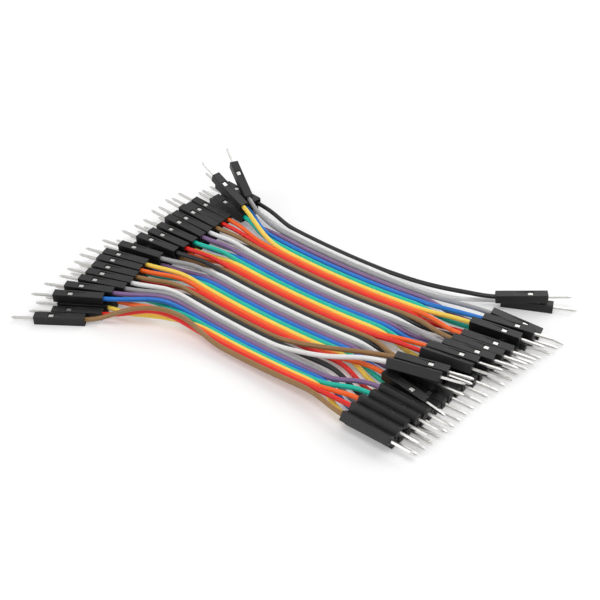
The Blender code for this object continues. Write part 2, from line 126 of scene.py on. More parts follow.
@dataclass(frozen=True)
class RibbonLayout:
    """Places of every housing and routes of every lead, in mm and degrees, as in the part's source.

    A pair is a lead's number and its value. Upper and lower give the Y of the housings of each layer, rear
    the X of their rear faces, and split the X at which a lead leaves the bonded stretch. Fan, pitch and roll
    turn a housing about the vertical, its cross axis and its own axis. A loose seat is x, y, z, fan, pitch
    and roll.
    """

    leads: int = 40
    pitch: float = 1.35
    middle: Span = (4.40, -2.056)
    layers: Span = (1.27, 3.86)
    sag: Point = (1.1, 1.683, 30.0)
    rear_run: float = 1.2
    loose_rear_run: float = 2.2
    lift_haste: float = 2.8
    soft_reach: int = 12
    branch_points: int = 24
    inside_points: int = 4
    bonded_points: int = 60
    loose_cuts: int = 8
    left_fan: Pairs = (
        (1, 6), (5, 11), (6, 9), (8, 0), (10, -1), (14, -1), (19, -2), (21, -5), (23, -11), (27, -14),
        (30, -16), (32, -18), (33, -20), (34, -25), (35, -31), (36, -26), (37, -32), (40, -34),
    )
    left_lower_fan: Pairs = (
        (2, 5), (4, 6), (11, 0), (20, -2), (24, -10), (26, -13), (31, -18), (36, -26), (37, -32), (40, -34),
    )
    right_fan: Pairs = (
        (3, 11), (5, 11), (7, 8), (8, 8), (10, 8.5), (13, 9), (18, 10), (19, 9), (20, 9), (23, 5),
        (28, -10), (34, -3), (36, -1.5), (38, -1), (40, -1),
    )
    right_lower_fan: Pairs = ((4, 10), (20, 3), (26, 0), (37, 0))
    left_rear: Pairs = (
        (1, -35.0), (5, -36.0), (6, -33.0), (8, -36.0), (19, -36.1), (21, -37.1), (23, -38.6), (27, -39.7),
        (30, -37.8), (33, -36.6), (34, -37.9), (35, -38.2), (36, -37.4), (38, -37.0), (39, -36.2),
        (40, -38.2),
    )
    right_rear: Pairs = (
        (3, 48.5), (5, 48.0), (7, 46.2), (8, 47.0), (10, 46.0), (13, 45.0), (18, 42.4), (19, 42.5),
        (20, 38.9), (28, 39.7), (34, 42.2), (36, 41.6), (38, 40.5),
    )
    right_lower_rear: Pairs = ((4, 48.0), (20, 43.0), (37, 40.0))
    left_upper: Pairs = (
        (1, 30.3), (5, 26.3), (6, 22.2), (8, 18.2), (9, 15.5), (10, 12.8), (12, 9.8), (14, 6.8), (16, 3.4),
        (19, -0.1), (21, -3.3), (23, -8.0), (27, -12.7), (28, -15.6), (30, -18.5), (32, -21.3), (33, -24.2),
        (34, -27.6), (35, -31.0),
    )
    left_lower: Pairs = (
        (2, 29.5), (4, 24.5), (11, 12.6), (13, 9.2), (15, 6.2), (17, 3.3), (18, 0.6), (20, -2.1),
        (22, -4.9), (24, -7.8), (25, -10.6), (26, -13.4), (29, -16.4), (31, -20.0), (36, -24.3),
        (38, -27.2), (37, -30.6), (39, -33.7), (40, -38.3),
    )
    right_upper: Pairs = (
        (3, 27.35), (5, 24.0), (7, 20.7), (8, 15.0), (10, 12.05), (13, 9.17), (18, 5.8), (19, 2.75),
        (20, -2.7), (23, -6.0), (28, -9.4), (34, -14.5), (36, -17.8), (38, -21.0), (39, -24.3), (40, -27.9),
    )
    right_lower: Pairs = (
        (4, 24.6), (6, 21.88), (9, 19.16), (11, 16.47), (12, 13.8), (14, 11.15), (15, 8.5), (16, 5.85),
        (17, 3.2), (21, 0.55), (22, -2.05), (24, -4.65), (25, -7.25), (26, -9.85), (27, -12.45),
        (29, -15.05), (31, -17.65), (33, -20.25), (35, -22.85), (37, -25.45),
    )
    left_pitch: dict[int, float] = field(default_factory=lambda: {5: 8, 8: 4, 9: 3, 10: 6, 12: 3, 14: 4})
    right_pitch: dict[int, float] = field(default_factory=lambda: {3: -9})
    right_roll: dict[int, float] = field(default_factory=lambda: {
        19: -28, 34: -30, 36: -30, 38: -30, 39: -34, 40: -36,
    })
    right_lift: dict[int, float] = field(default_factory=lambda: {
        19: 4.33, 34: 4.35, 36: 4.35, 38: 4.35, 39: 4.38, 40: 4.2,
    })
    loose_seats: dict[tuple[Side, int], tuple[float, ...]] = field(default_factory=lambda: {
        (Side.LEFT, 3): (-35.7, 27.1, 6.9, 30, 19, 0),
        (Side.LEFT, 7): (-34.2, 23.0, 6.7, 10, 19, 0),
        (Side.RIGHT, 1): (45.8, 33.9, 3.9, 35, 2, 0),
        (Side.RIGHT, 2): (46.3, 36.5, 1.27, 25, 0, 0),
        (Side.RIGHT, 30): (40.0, -5.3, 6.5, 14, 0, 0),
        (Side.RIGHT, 32): (39.8, -8.6, 7.15, 12, 2, -36),
    })
    left_split: Pairs = (
        (1, -22), (5, -25), (8, -25), (16, -24), (28, -23), (30, -22.5), (32, -21.5), (33, -20.5),
        (34, -19.8), (35, -19.5), (36, -17),
    )
    right_split: Pairs = (
        (3, 33.5), (8, 33.2), (9, 31.6), (10, 32.4), (11, 30.9), (20, 29.5), (21, 28.5), (27, 28.8),
        (28, 28.0), (29, 28.5), (33, 27.7), (34, 30.3), (40, 29.5),
    )
    loose_routes: dict[tuple[Side, int], tuple[Point, ...]] = field(default_factory=lambda: {
        (Side.LEFT, 3): ((-22, 24.6, 2.3), (-26, 24.6, 3.2), (-30, 25.1, 4.8)),
        (Side.LEFT, 7): ((-19, 18.25, 2.1), (-23, 18.7, 3.7), (-27, 20.0, 5.4), (-30.5, 21.4, 6.2)),
        (Side.LEFT, 37): (
            (-13, -22.3, 1.95), (-18, -24.0, 2.1), (-22.5, -26.3, 2.5), (-28, -29.2, 2.3),
            (-32.5, -30.6, 1.6),
        ),
        (Side.LEFT, 38): (
            (-13, -23.5, 2.6), (-18, -24.3, 3.6), (-24, -25.0, 3.8), (-30, -26.2, 2.4), (-34, -27.0, 1.5),
        ),
        (Side.LEFT, 39): (
            (-9, -24.9, 2.95), (-15, -25.4, 4.2), (-20.5, -26.6, 5.2), (-26, -29.2, 4.6), (-31, -32.2, 2.6),
        ),
        (Side.LEFT, 40): (
            (-4, -26.2, 3.3), (-10, -25.4, 5.2), (-14.5, -26.0, 6.9), (-19.0, -27.8, 7.8),
            (-25.5, -31.0, 7.0), (-30.5, -34.0, 4.6), (-34, -35.9, 2.4),
        ),
        (Side.RIGHT, 1): ((14, 28.3, 1.6), (24, 28.8, 2.2), (34, 30.2, 3.2), (40, 31.8, 3.8)),
        (Side.RIGHT, 2): ((14, 26.8, 1.4), (24, 27.2, 1.2), (33, 28.8, 1.1), (40, 32.4, 1.15)),
        (Side.RIGHT, 30): ((10, -12.8, 1.8), (16, -12.3, 3.2), (23.2, -10.9, 4.7), (31.5, -8.2, 5.9)),
        (Side.RIGHT, 32): (
            (10, -15.5, 1.45), (16, -15.3, 2.9), (23.1, -14.6, 4.6), (28.4, -13.3, 6.0), (33.6, -10.6, 6.9),
        ),
    })
    back_spread: Pairs = ((1, 1.9), (2, 1.6), (3, 1.2), (4, 0.7), (5, 0.3), (6, 0.0))
    front_tuck: Pairs = ((35, 0.0), (36, 0.02), (37, 0.13), (38, 0.24), (39, 0.29), (40, 0.34))
    front_curl: Pairs = ((35, 0.0), (36, 0.25), (37, 0.7), (38, 1.2), (39, 1.55), (40, 1.8))

    def in_frame(self, points: np.ndarray) -> np.ndarray:
        """Points of the tables, mm, in the part's frame, metres."""
        return (np.asarray(points, float) - np.array([*self.middle, 0.0])) * MM

    def numbers(self, side: Side, lead: int) -> tuple[float, ...]:
        """Numbers that place the housing of a lead at one side.

        Args:
            side: End of the ribbon.
            lead: Number of the lead.

        Returns:
            X, y and z of its rear face in mm, and its fan, pitch and roll in degrees.
        """
        if (side, lead) in self.loose_seats:
            return self.loose_seats[(side, lead)]
        left = side is Side.LEFT
        lower = dict(self.left_lower if left else self.right_lower)
        is_lower = lead in lower
        y = lower[lead] if is_lower else dict(self.left_upper if left else self.right_upper)[lead]
        lower_fan = self.left_lower_fan if left else self.right_lower_fan
        upper_fan = self.left_fan if left else self.right_fan
        lower_rear = self.left_rear if left else self.right_lower_rear
        upper_rear = self.left_rear if left else self.right_rear
        pitch = (self.left_pitch if left else self.right_pitch).get(lead, 0)
        roll = 0 if left else self.right_roll.get(lead, 0)
        z = self.layers[0 if is_lower else 1]
        if not left:
            z = self.right_lift.get(lead, z)
        x = between(lower_rear if is_lower else upper_rear, lead)
        return (x, y, z, between(lower_fan if is_lower else upper_fan, lead), pitch, roll)

    def seat(self, side: Side, lead: int) -> Seat:
        """Place and axes of the housing of a lead at one side.

        Its own X points to its pin: out of the ribbon, turned level by the fan and raised by the pitch. Its
        Y is up crossed with X. Its Z is X crossed with Y and carries the window. The roll turns Y and Z.

        Args:
            side: End of the ribbon.
            lead: Number of the lead.

        Returns:
            The seat, with its place in metres.
        """
        x, y, z, *angles = self.numbers(side, lead)
        fan, pitch, roll = (math.radians(angle) for angle in angles)
        level = math.cos(pitch)
        along = np.array([side.outward * math.cos(fan) * level, math.sin(fan) * level, math.sin(pitch)])
        across = np.cross([0.0, 0.0, 1.0], along)
        across /= np.linalg.norm(across)
        above = np.cross(along, across)
        turned = math.cos(roll) * across + math.sin(roll) * above
        raised = math.cos(roll) * above - math.sin(roll) * across
        return Seat(self.in_frame([x, y, z]), along, turned, raised)

    def bonded(self, lead: int, x: np.ndarray) -> np.ndarray:
        """Centre line in the bonded stretch, mm: straight in plan, with a shallow parabola of sag.

        The height is the lowest one, plus the rise times the square of x over the span.

        Args:
            lead: Number of the lead.
            x: Places along the ribbon.

        Returns:
            A point for each place.
        """
        y = ((self.leads + 1) / 2 - lead) * self.pitch + between(self.back_spread, lead)
        y += between(self.front_tuck, lead)
        low, rise, span = self.sag
        z = low + rise * (x / span) ** 2 + between(self.front_curl, lead)
        return np.stack([x, np.full_like(x, y), z], axis=1)

    def loose_branch(self, side: Side, lead: int, rear: np.ndarray, along: np.ndarray) -> np.ndarray:
        """Smooth curve through a loose lead's own points, mm.

        Each span is a cubic whose slope at a point is half the step between that point's two neighbours. The
        first and last points get a neighbour by carrying their span on.

        Args:
            side: End of the ribbon.
            lead: Number of the lead.
            rear: Middle of the housing's rear face.
            along: Direction of the housing's pin.

        Returns:
            Points from the bonded stretch to just behind the housing.
        """
        ends = np.array([*self.loose_routes[(side, lead)], tuple(rear - self.loose_rear_run * along)])
        padded = np.vstack([2 * ends[0] - ends[1], ends, 2 * ends[-1] - ends[-2]])
        t = np.linspace(0, 1, self.loose_cuts, endpoint=False)[None, :, None]
        before, start, end, after = (padded[k : len(padded) - 3 + k][:, None, :] for k in range(4))
        curve = cubic(start, (end - before) / 2, end, (after - start) / 2, t)
        return np.vstack([curve.reshape(-1, 3), ends[-1:]])

    def branch(self, side: Side, lead: int, entry: float) -> np.ndarray:
        """Points of a lead, mm, from where it leaves the bonded stretch to its end inside the housing.

        In plan the lead follows a cubic from the straight bonded line to the axis of its housing. Its height
        follows a cubic of its own that is done sooner, and the last points run straight into the housing.

        Args:
            side: End of the ribbon.
            lead: Number of the lead.
            entry: How far the lead runs into the housing, mm.

        Returns:
            The points.
        """
        x, y, z, *_ = self.numbers(side, lead)
        rear, along = np.array([x, y, z]), self.seat(side, lead).along
        inside = rear + np.outer(np.linspace(0, entry, self.inside_points), along)
        if (side, lead) in self.loose_routes:
            return np.vstack([self.loose_branch(side, lead, rear, along), inside])
        split = between(self.left_split if side is Side.LEFT else self.right_split, lead)
        start = self.bonded(lead, np.array([split]))[0]
        end = rear - self.rear_run * along
        t = np.linspace(0, 1, self.branch_points)
        slope = abs(end[0] - split) * along[1] / abs(along[0])
        points = np.stack([
            split + (end[0] - split) * t,
            cubic(start[1], 0.0, end[1], slope, t),
            cubic(start[2], 0.0, end[2], 0.0, np.minimum(1.0, t * self.lift_haste)),
        ], axis=1)
        return np.vstack([points, inside])

    def route(self, lead: int, entry: float, step: float = 0.6) -> np.ndarray:
        """Smooth centre line of a lead from its left housing to its right one, metres, at even steps.

        The three stretches are joined, read at even distances, and averaged over a short window, which turns
        the corners where they meet into gentle bends. Both ends stay where they are.

        Args:
            lead: Number of the lead.
            entry: How far it runs into its housings, mm.
            step: Distance between points, mm.

        Returns:
            The points.
        """
        left, right = self.branch(Side.LEFT, lead, entry), self.branch(Side.RIGHT, lead, entry)
        middle = self.bonded(lead, np.linspace(left[0, 0], right[0, 0], self.bonded_points)[1:-1])
        line = even_steps(np.vstack([left[::-1], middle, right]), step)
        reach = self.soft_reach
        window = np.hanning(2 * reach + 3)[1:-1]
        window /= window.sum()
        wide = np.pad(line, ((reach, reach), (0, 0)), mode="reflect", reflect_type="odd")
        soft = np.stack([np.convolve(wide[:, axis], window, mode="valid") for axis in range(3)], axis=1)
        return self.in_frame(even_steps(soft, step))

    def split_ends(self, lead: int) -> Span:
        """Places at which a lead leaves the bonded stretch.

        Args:
            lead: Number of the lead.

        Returns:
            X in metres at the left and at the right.
        """
        found = []
        for side, table in ((Side.LEFT, self.left_split), (Side.RIGHT, self.right_split)):
            loose = self.loose_routes.get((side, lead))
            x = loose[0][0] if loose else between(table, lead)
            found.append((x - self.middle[0]) * MM)
        return found[0], found[1]


def even_steps(points: np.ndarray, step: float) -> np.ndarray:
    """Points at even distances along a broken line.

    Args:
        points: Corners of the line, one row each.
        step: Wanted distance, which is rounded to fit the whole length.

    Returns:
        The new points, with the same ends.
    """
    lengths = np.linalg.norm(np.diff(points, axis=0), axis=1)
    points = points[np.concatenate([[True], lengths > SAME_PLACE])]
    run = np.concatenate([[0.0], np.cumsum(np.linalg.norm(np.diff(points, axis=0), axis=1))])
    wanted = np.linspace(0, run[-1], max(2, round(run[-1] / step) + 1))
    return np.stack([np.interp(wanted, run, points[:, axis]) for axis in range(3)], axis=1)


def line_frames(line: np.ndarray) -> tuple[np.ndarray, np.ndarray]:
    """Sideways and upward unit vectors along a line that is never vertical.

    The tangent is the difference of the neighbours. Sideways is up crossed with it, and upward is the
    tangent crossed with sideways, so a section keeps its sides level along the whole lead.

    Args:
        line: Points of the centre line.

    Returns:
        Two arrays of vectors, one row for each point.
    """
    tangent = np.gradient(line, axis=0)
    tangent /= np.linalg.norm(tangent, axis=1, keepdims=True)
    sideways = np.cross(np.array([0.0, 0.0, 1.0]), tangent)
    sideways /= np.linalg.norm(sideways, axis=1, keepdims=True)
    return sideways, np.cross(tangent, sideways)


def grid_mesh(
    name: str, rings: np.ndarray, uv: np.ndarray, smooth: bool, looped: bool = False,
) -> bpy.types.Mesh:
    """Closed mesh through rings of points.

    Quads join each point to its neighbours in the ring and in the next ring. The first and last rings are
    closed with one face each, or joined to each other when looped. Faces are turned outwards by the sign of
    the enclosed volume.

    Args:
        name: Name of the mesh.
        rings: Array of rings, points and coordinates.
        uv: Two numbers for each ring and point, the place along and round the piece.
        smooth: Whether the faces are shaded smooth.
        looped: Whether the last ring meets the first.

    Returns:
        The new mesh.
    """
    count, around = rings.shape[:2]
    index = np.arange(count * around).reshape(count, around)
    ahead = np.roll(index, -1, axis=0) if looped else index[1:]
    start = index if looped else index[:-1]
    quads = np.stack([start, np.roll(start, -1, axis=1), np.roll(ahead, -1, axis=1), ahead], axis=-1)
    quads = quads.reshape(-1, 4)
    points = rings.reshape(-1, 3)
    corner = points[quads] - points.mean(axis=0)
    edge = corner[:, 1:] - corner[:, :1]
    normal = np.cross(edge[:, 0], edge[:, 1]) + np.cross(edge[:, 1], edge[:, 2])
    order = 1 if np.einsum("ij,ij->", corner[:, 0], normal) >= 0 else -1
    faces = quads[:, ::order].tolist()
    if not looped:
        faces += [index[0][::-order].tolist(), index[-1][::order].tolist()]
    mesh = bpy.data.meshes.new(name)
    mesh.from_pydata(points.tolist(), [], faces)
    mesh.update()
    mesh.polygons.foreach_set("use_smooth", np.full(len(mesh.polygons), smooth))
    if smooth:
        mesh.set_sharp_from_angle(angle=SHARP_EDGE)
    corners = np.empty(len(mesh.loops), np.int32)
    mesh.loops.foreach_get("vertex_index", corners)
    layer = mesh.uv_layers.new(name="run")
    layer.data.foreach_set("uv", uv.reshape(-1, 2)[corners].astype(np.float32).ravel())
    return mesh


def linked_object(name: str, data: bpy.types.ID) -> bpy.types.Object:
    """Makes an object and links it to the scene.

    Args:
        name: Name of the object.
        data: Its mesh, lamp or camera.

    Returns:
        The new object.
    """
    made = bpy.data.objects.new(name, data)
    bpy.context.scene.collection.objects.link(made)
    return made


def merged_mesh(name: str, meshes: list[bpy.types.Mesh]) -> bpy.types.Mesh:
    """Joins closed shells in one mesh; the inputs are removed.

    Args:
        name: Name of the mesh.
        meshes: The shells.

    Returns:
        The joined mesh.
    """
    holders = [linked_object(name, mesh) for mesh in meshes]
    with bpy.context.temp_override(active_object=holders[0], selected_editable_objects=holders):
        bpy.ops.object.join()
    whole = holders[0].data
    whole.name = name
    bpy.data.objects.remove(holders[0])
    return whole


class Value:
    """Output socket of a node, with Python operators that add Math nodes."""

    def __init__(self, graph: Graph, socket: bpy.types.NodeSocket) -> None:
        """Wraps a socket."""
        self.graph = graph
        self.socket = socket

    def _maths(self, operation: str, first: Value | float, second: Value | float) -> Value:
        """Math node on two values."""
        return self.graph.node("ShaderNodeMath", {"operation": operation}, {0: first, 1: second})

    def __add__(self, other: Value | float) -> Value:
        """Sum."""
        return self._maths("ADD", self, other)

    __radd__ = __add__

    def __sub__(self, other: Value | float) -> Value:
        """Difference."""
        return self._maths("SUBTRACT", self, other)

    def __rsub__(self, other: Value | float) -> Value:
        """Difference from a number."""
        return self._maths("SUBTRACT", other, self)

    def __mul__(self, other: Value | float) -> Value:
        """Product."""
        return self._maths("MULTIPLY", self, other)

    __rmul__ = __mul__

    def ramp(self, low: float, high: float) -> Value:
        """Smooth step from 0 at low to 1 at high."""
        return self.graph.node(
            "ShaderNodeMapRange", {"interpolation_type": "SMOOTHSTEP", "clamp": True},
            {"Value": self, "From Min": low, "From Max": high},
        )


class Graph:
    """Node tree of a material or of the world."""

    def __init__(self, owner: bpy.types.Material | bpy.types.World, shader: str = "Principled BSDF") -> None:
        """Starts with the shader that the owner's tree is made with.

        Args:
            owner: Material or world.
            shader: Name of that shader's node.
        """
        self.owner = owner
        owner.use_nodes = True
        self.tree = owner.node_tree
        self.shader = self.tree.nodes[shader]

    @classmethod
    def of_material(cls, name: str) -> Graph:
        """Node tree of a new material."""
        return cls(bpy.data.materials.new(name))

    def node(
        self, kind: str, settings: dict[str, object] | None = None,
        values: dict[int | str, object] | None = None, output: int | str = 0,
    ) -> Value:
        """Adds a node, sets it up and feeds it.

        Args:
            kind: Type of the node.
            settings: Its own settings, such as a Math node's operation.
            values: Numbers, colours or wrapped sockets for its inputs.
            output: Which of its outputs to give back.

        Returns:
            The wrapped output.
        """
        made = self.tree.nodes.new(kind)
        for name, setting in (settings or {}).items():
            setattr(made, name, setting)
        for name, value in (values or {}).items():
            self.feed(made.inputs[name], value)
        return Value(self, made.outputs[output])

    def feed(self, socket: bpy.types.NodeSocket, value: object) -> None:
        """Links a wrapped socket to an input, or sets the input's number or colour.

        Args:
            socket: The input.
            value: Wrapped socket, number or colour.
        """
        if isinstance(value, Value):
            self.tree.links.new(value.socket, socket)
        else:
            socket.default_value = value

    def place(self) -> Value:
        """Object coordinates, metres."""
        return self.node("ShaderNodeTexCoord", output="Object")

    def run(self) -> Value:
        """The piece's own UV map: along it and round it."""
        return self.node("ShaderNodeUVMap", {"uv_map": "run"}, output="UV")

    def seen(self) -> Value:
        """Tells what is seen from what only gives light, by the sum of three kinds of ray, at most 1.

        Returns:
            1 for what the camera sees, by itself, in gloss or through glass, and 0 for the rest.
        """
        seers = ("Camera", "Glossy", "Transmission")
        camera, gloss, glass = (self.node("ShaderNodeLightPath", output=f"Is {kind} Ray") for kind in seers)
        return self.node("ShaderNodeMath", {"operation": "MINIMUM"}, {0: camera + gloss + glass, 1: 1.0})

    def noise(self, where: Value, scale: float, detail: float = 3.0, roughness: float = 0.55) -> Value:
        """Noise from 0 to 1."""
        values = {"Vector": where, "Scale": scale, "Detail": detail, "Roughness": roughness}
        return self.node("ShaderNodeTexNoise", values=values)

    def stretched(self, where: Value, scale: Point) -> Value:
        """Coordinates scaled on each axis."""
        return self.node("ShaderNodeMapping", values={"Vector": where, "Scale": scale})

    def blend(self, share: Value | float, first: object, second: object) -> Value:
        """Mix of two colours."""
        values = {"Factor": share, MIX_FIRST: first, MIX_SECOND: second}
        return self.node("ShaderNodeMix", {"data_type": "RGBA"}, values, MIX_RESULT)

    def bump(self, height: Value, relief: Span) -> None:
        """Relief of a height from 0 to 1, with its strength and its depth in metres."""
        values = {"Height": height, "Strength": relief[0], "Distance": relief[1]}
        self.feed(self.shader.inputs["Normal"], self.node("ShaderNodeBump", values=values))

    def surface(self, **values: object) -> bpy.types.Material | bpy.types.World:
        """Feeds the shader.

        Args:
            values: Values by input, with underscores for the spaces in its name.

        Returns:
            The owner.
        """
        for name, value in values.items():
            self.feed(self.shader.inputs[name.replace("_", " ")], value)
        return self.owner


@dataclass(frozen=True)
class PvcFinish:
    """Glossy extruded PVC of one colour.

    A scale is in cells a metre, and a stretch in cells for each mm along and each turn round the piece.
    Edges are the noise at which a pattern starts and is full. A share is what it brings in of the second
    colour, which is the first times deep. Relief is a bump's strength and its depth in metres.
    """

    colour: Point
    deep: float = 0.80
    cloud_scale: float = 260.0
    cloud_edges: Span = (0.35, 0.68)
    cloud_share: float = 0.45
    grain_stretch: Point = (0.9, 46.0, 1.0)
    grain_edges: Span = (0.4, 0.75)
    grain_share: float = 0.30
    grain_height: float = 0.7
    fine_scale: float = 5200.0
    fine_height: float = 0.3
    relief: Span = (0.06, 0.00003)
    roughness: float = 0.25
    grain_roughness: float = 0.12
    cloud_roughness: float = 0.05
    coat: float = 0.06
    coat_roughness: float = 0.16
    specular: float = 0.38

    def material(self, name: str) -> bpy.types.Material:
        """Cloudy pigment, a faint lengthwise extrusion grain and slightly uneven gloss.

        Args:
            name: Name of the material.

        Returns:
            The material.
        """
        graph = Graph.of_material(name)
        place, run = graph.place(), graph.run()
        cloud = graph.noise(place, self.cloud_scale).ramp(*self.cloud_edges)
        grain = graph.noise(graph.stretched(run, self.grain_stretch), scale=1.0, detail=2.0)
        fine = graph.noise(place, self.fine_scale, detail=2.0)
        deep = tuple(part * self.deep for part in self.colour)
        share = cloud * self.cloud_share + grain.ramp(*self.grain_edges) * self.grain_share
        graph.bump(grain * self.grain_height + fine * self.fine_height, self.relief)
        return graph.surface(
            Base_Color=graph.blend(share, (*self.colour, 1.0), (*deep, 1.0)),
            Roughness=self.roughness + grain * self.grain_roughness + cloud * self.cloud_roughness,
            Coat_Weight=self.coat, Coat_Roughness=self.coat_roughness, Specular_IOR_Level=self.specular,
        )


@dataclass(frozen=True)
class NylonFinish:
    """Black moulded nylon of the housings, in the terms of the PVC."""

    colour: Point = (0.0045, 0.0045, 0.0049)
    worn: Point = (0.016, 0.016, 0.0165)
    cloud_scale: float = 420.0
    cloud_edges: Span = (0.38, 0.72)
    cloud_share: float = 0.35
    texture_scale: float = 6800.0
    texture_depth: float = 0.6
    rub_stretch: Point = (1.6, 34.0, 1.0)
    rub_edges: Span = (0.60, 0.78)
    rub_share: float = 0.25
    relief: Span = (0.12, 0.00002)
    roughness: float = 0.40
    texture_roughness: float = 0.10
    rub_polish: float = 0.06
    specular: float = 0.37

    def material(self, name: str) -> bpy.types.Material:
        """Spark eroded texture, soft handling marks and uneven sheen.

        Args:
            name: Name of the material.

        Returns:
            The material.
        """
        graph = Graph.of_material(name)
        place = graph.place()
        cloud = graph.noise(place, self.cloud_scale).ramp(*self.cloud_edges)
        texture = graph.noise(place, self.texture_scale, roughness=self.texture_depth)
        rub = graph.noise(graph.stretched(graph.run(), self.rub_stretch), scale=1.0).ramp(*self.rub_edges)
        share = cloud * self.cloud_share + rub * self.rub_share
        graph.bump(texture, self.relief)
        return graph.surface(
            Base_Color=graph.blend(share, (*self.colour, 1.0), (*self.worn, 1.0)),
            Roughness=self.roughness + texture * self.texture_roughness - rub * self.rub_polish,
            Specular_IOR_Level=self.specular,
        )


@dataclass(frozen=True)
class TinFinish:
    """Bright tin plate of the contacts, in the terms of the PVC."""

    colour: Point = (0.60, 0.59, 0.57)
    dull: Point = (0.40, 0.39, 0.37)
    cloud_scale: float = 900.0
    cloud_edges: Span = (0.42, 0.74)
    cloud_share: float = 0.4
    line_stretch: Point = (0.35, 60.0, 1.0)
    relief: Span = (0.04, 0.00001)
    roughness: float = 0.25
    line_roughness: float = 0.08
    cloud_roughness: float = 0.06

    def material(self, name: str) -> bpy.types.Material:
        """Lengthwise stamping lines and dull patches on a bright plate.

        Args:
            name: Name of the material.

        Returns:
            The material.
        """
        graph = Graph.of_material(name)
        cloud = graph.noise(graph.place(), self.cloud_scale).ramp(*self.cloud_edges)
        lines = graph.noise(graph.stretched(graph.run(), self.line_stretch), scale=1.0, detail=2.0)
        graph.bump(lines, self.relief)
        return graph.surface(
            Base_Color=graph.blend(cloud * self.cloud_share, (*self.colour, 1.0), (*self.dull, 1.0)),
            Metallic=1.0,
            Roughness=self.roughness + lines * self.line_roughness + cloud * self.cloud_roughness,
        )


@dataclass
class Finishes:
    """All the materials of the ribbon, made once."""

    pvc: dict[Insulation, PvcFinish] = field(default_factory=lambda: {
        Insulation.BLACK: PvcFinish((0.008, 0.008, 0.009)),
        Insulation.WHITE: PvcFinish((0.90, 0.90, 0.89), 0.94),
        Insulation.GREY: PvcFinish((0.36, 0.36, 0.375), 0.86),
        Insulation.PURPLE: PvcFinish((0.25, 0.14, 0.30)),
        Insulation.BLUE: PvcFinish((0.006, 0.19, 0.68)),
        Insulation.GREEN: PvcFinish((0.002, 0.56, 0.42)),
        Insulation.YELLOW: PvcFinish((1.0, 0.73, 0.10), 0.90),
        Insulation.ORANGE: PvcFinish((1.0, 0.145, 0.012), 0.88),
        Insulation.RED: PvcFinish((0.86, 0.017, 0.010), 0.86),
        Insulation.BROWN: PvcFinish((0.31, 0.165, 0.055), 0.84),
    })
    made: dict[str, bpy.types.Material] = field(default_factory=dict)

    def build(self) -> None:
        """Makes every material."""
        for colour, finish in self.pvc.items():
            self.made[colour.value] = finish.material(f"{colour.value}_pvc")
        self.made["housing"] = NylonFinish().material("black_nylon")
        self.made["contact"] = TinFinish().material("tin_plate")


def finished_piece(
    name: str, mesh: bpy.types.Mesh, material: bpy.types.Material, slot: str, *nodes: str,
) -> bpy.types.Object:
    """Object at the origin with one material, riding on the part and standing for its solids.

    Args:
        name: Name of the piece.
        mesh: Its mesh, in place.
        material: Its material.
        slot: Not used.
        nodes: Names of the solids that it stands for.

    Returns:
        The new object.
    """
    mesh.name = name
    mesh.materials.clear()
    mesh.materials.append(material)
    piece = linked_object(name, mesh)
    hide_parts(*nodes)
    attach(piece, "root")
    return piece


@dataclass
class SquareSection:
    """Section of a moulded or stamped piece: a square with rounded corners."""

    flat_stops: tuple[float, ...] = (-0.652, -0.609, 0.609, 0.652)
    corner_steps: int = 3

    def ring(self, half: float, corner: float) -> np.ndarray:
        """Points of the section in its own plane, mm.

        On each side, the points at the flat stops lie at the half width. Between sides, points lie on a
        quarter circle of the corner radius. The four sides are the first one turned by right angles.

        Args:
            half: Half of the square's width.
            corner: Radius of its corners.

        Returns:
            An array of points, two numbers each.
        """
        flat = half - corner
        stops = np.array(self.flat_stops) * flat
        side = np.stack([np.full_like(stops, half), stops], axis=1)
        angles = np.linspace(0, math.pi / 2, self.corner_steps + 1)
        arc = flat + corner * np.stack([np.cos(angles), np.sin(angles)], axis=1)
        quarter = np.vstack([side, arc])
        return np.vstack([quarter @ np.linalg.matrix_power(QUARTER_TURN, turns) for turns in range(4)])

    @property
    def top_flat(self) -> np.ndarray:
        """The two inner stops of the side that looks up.

        Returns:
            Mask of the ring's points.
        """
        side = len(self.flat_stops) + self.corner_steps + 1
        mask = np.zeros(4 * side, bool)
        mask[side + 1 : side + 3] = True
        return mask

    def sweep(self, stations: list[Station]) -> tuple[np.ndarray, np.ndarray]:
        """Rings of the section along X.

        Args:
            stations: For each ring its x, half width, corner radius and drop of the top's inner flat, mm.

        Returns:
            The rings, and a UV pair for each point: mm along the profile, and the share of the way round.
        """
        rings = []
        for x, half, corner, drop in stations:
            flat = self.ring(half, corner)
            ring = np.column_stack([np.full(len(flat), x), flat])
            ring[self.top_flat, 2] -= drop
            rings.append(ring)
        whole = np.array(rings)
        steps = np.linalg.norm(np.diff(np.array(stations)[:, :2], axis=0), axis=1)
        along = np.concatenate([[0.0], np.cumsum(steps)])
        around = np.linspace(0, 1, whole.shape[1], endpoint=False)
        uv = np.stack(np.meshgrid(along, around, indexing="ij"), axis=-1)
        return whole, uv


